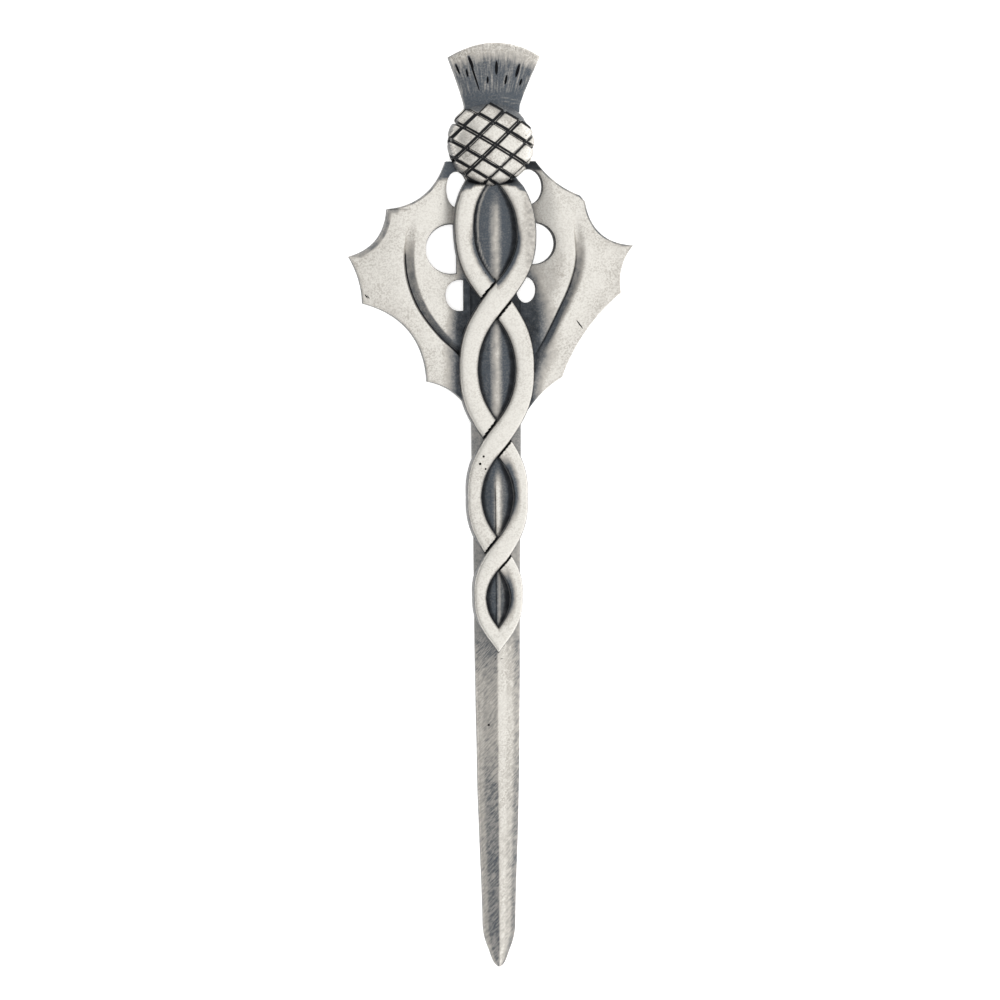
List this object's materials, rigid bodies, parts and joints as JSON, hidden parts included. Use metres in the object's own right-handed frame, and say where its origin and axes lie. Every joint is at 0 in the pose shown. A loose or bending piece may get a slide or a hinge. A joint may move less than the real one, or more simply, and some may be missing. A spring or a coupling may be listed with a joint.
{
  "type": "kilt pin",
  "caption": "Sword-shaped kilt pin of cast antiqued pewter, with a thistle head, spiked leaves and a twist of two strands.",
  "frame": {"origin": "under the middle of the pin's width and length, on the surface that the fastening rests on", "axes": "+Y along the pin from the blade's point to the thistle's crown, +Z from the back to the front"},
  "size_m": [0.0308, 0.1, 0.011],
  "materials": {
    "pewter": "antiqued satin pewter",
    "pin_steel": "plated, smooth"
  },
  "bodies": {
    "root": {"casting": "pewter", "brooch_pin": "pin_steel"}
  },
  "joints": []
}
